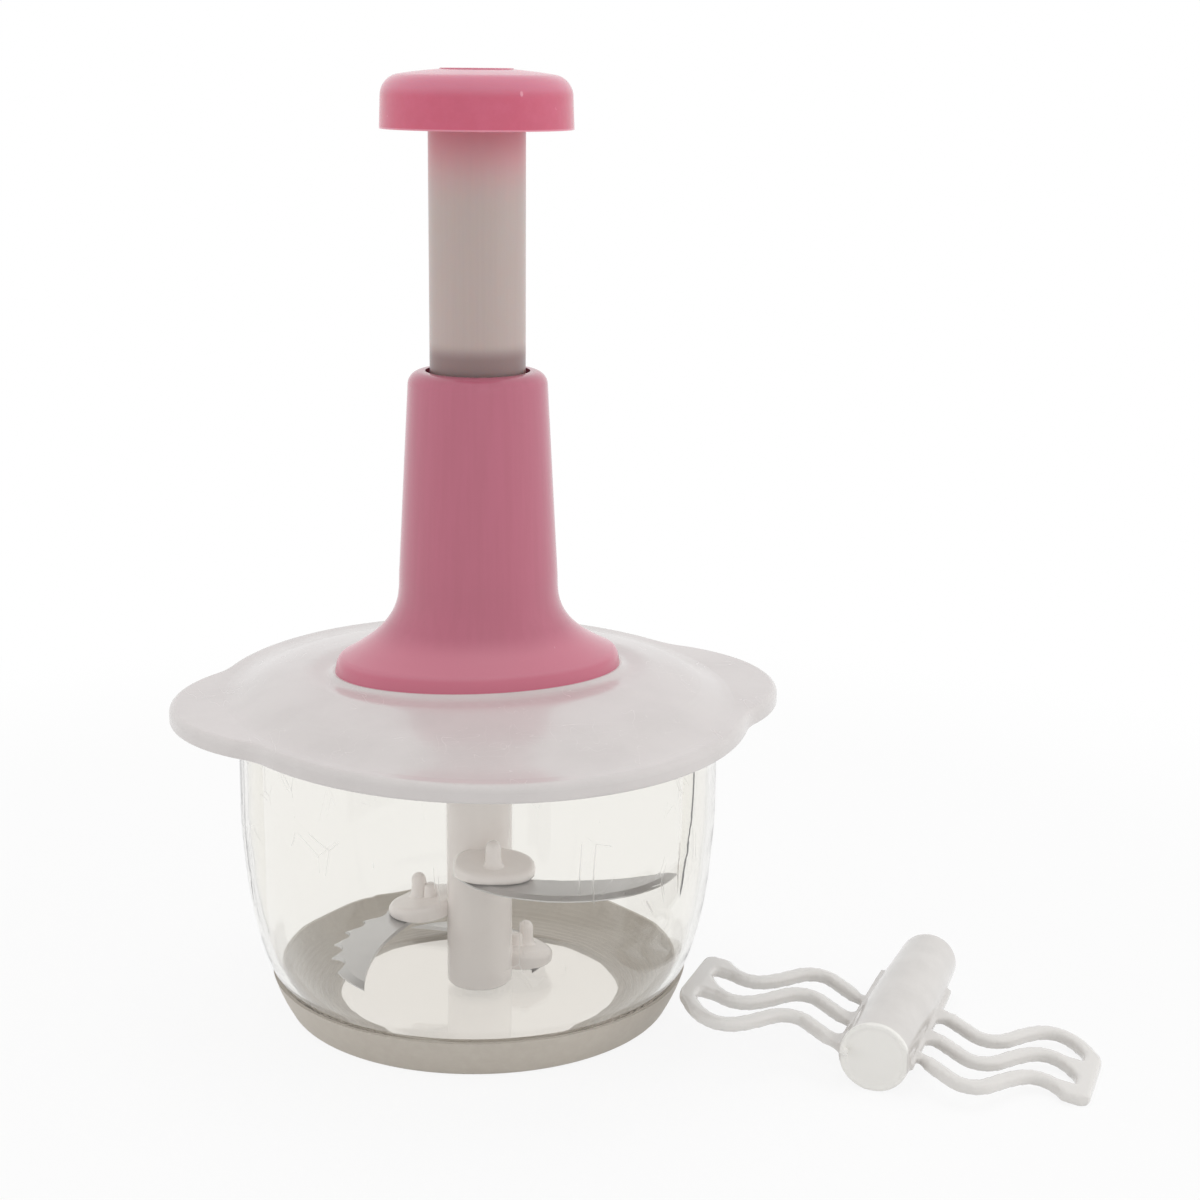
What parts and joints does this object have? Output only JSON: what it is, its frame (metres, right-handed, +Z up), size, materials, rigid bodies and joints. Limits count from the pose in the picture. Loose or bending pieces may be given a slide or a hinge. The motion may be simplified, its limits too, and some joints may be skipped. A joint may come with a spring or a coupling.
{
  "type": "plunger food chopper",
  "caption": "Manual food chopper: a clear bowl on a soft ring, a lid with a plunger tower that spins the blade shaft through a twisted rod, and a loose whisk.",
  "frame": {"origin": "on the table under the bowl's centre, on the plane of the base ring's underside", "axes": "+Z up along the plunger; +X through the tips of the lid's two ears; the lid's long oval runs along Y"},
  "size_m": [0.2495, 0.2035, 0.2734],
  "materials": {
    "clear_plastic": "polished, clear",
    "soft_grey": "soft matt",
    "steel": "satin",
    "blade_steel": "ground",
    "white_plastic": "gloss",
    "seal_silicone": "matt",
    "bush_plastic": "matt",
    "pink_tower": "gloss",
    "pink_knob": "gloss",
    "translucent_white": "satin, translucent"
  },
  "bodies": {
    "base": {"bowl": "clear_plastic", "base_ring": "soft_grey", "bowl_pin": "steel"},
    "lid": {"lid_shell": "white_plastic", "lid_seal": "seal_silicone", "lid_underplate": "white_plastic", "underplate_screws": "steel", "coupling_bush": "bush_plastic", "tower_housing": "pink_tower", "tower_screws": "steel", "guide_bush": "bush_plastic", "spring_washer": "steel", "return_spring": "steel"},
    "plunger": {"plunger_tube": "translucent_white", "knob_cap": "pink_knob", "knob_plug": "pink_knob", "knob_screw": "steel", "drive_nut": "bush_plastic"},
    "spindle": {"twisted_rod": "steel", "clutch_driver": "bush_plastic"},
    "drive": {"drive_coupling": "bush_plastic", "coupling_clip": "steel"},
    "blade_unit": {"blade_shaft": "white_plastic", "blade_upper": "blade_steel", "blade_middle": "blade_steel", "blade_lower": "blade_steel", "shaft_foot_bush": "bush_plastic"},
    "whisk": {"whisk": "white_plastic"}
  },
  "joints": [
    {"name": "lid_lift", "type": "slide", "parent": "base", "child": "lid", "axis": [0, 0, 1], "range_m": [0, 0.12]},
    {"name": "plunger_press", "type": "slide", "parent": "lid", "child": "plunger", "axis": [0, 0, 1], "range_m": [-0.06, 0], "stiffness_N_per_m": 385, "springref_m": 0.02, "deforming": ["return_spring"]},
    {"name": "spindle_spin", "type": "hinge", "parent": "lid", "child": "spindle", "pos_m": [0, 0, 0.104], "axis": [0, 0, 1], "range_deg": [-480.5, 0.5]},
    {"name": "drive_spin", "type": "hinge", "parent": "lid", "child": "drive", "pos_m": [0, 0, 0.09], "axis": [0, 0, 1], "range_deg": [-480.5, 0.5]},
    {"name": "blade_spin", "type": "hinge", "parent": "base", "child": "blade_unit", "pos_m": [0, 0, 0.02], "axis": [0, 0, 1], "range_deg": [-480.5, 0.5]},
    {"name": "whisk_away", "type": "slide", "parent": "base", "child": "whisk", "axis": [0.7071, -0.7071, 0], "range_m": [0, 0.15]}
  ],
  "couplings": [
    {"joint": "spindle_spin", "follows": "plunger_press", "rad_per_m": 139.63},
    {"joint": "drive_spin", "follows": "plunger_press", "rad_per_m": 139.63},
    {"joint": "blade_spin", "follows": "plunger_press", "rad_per_m": 139.63}
  ]
}
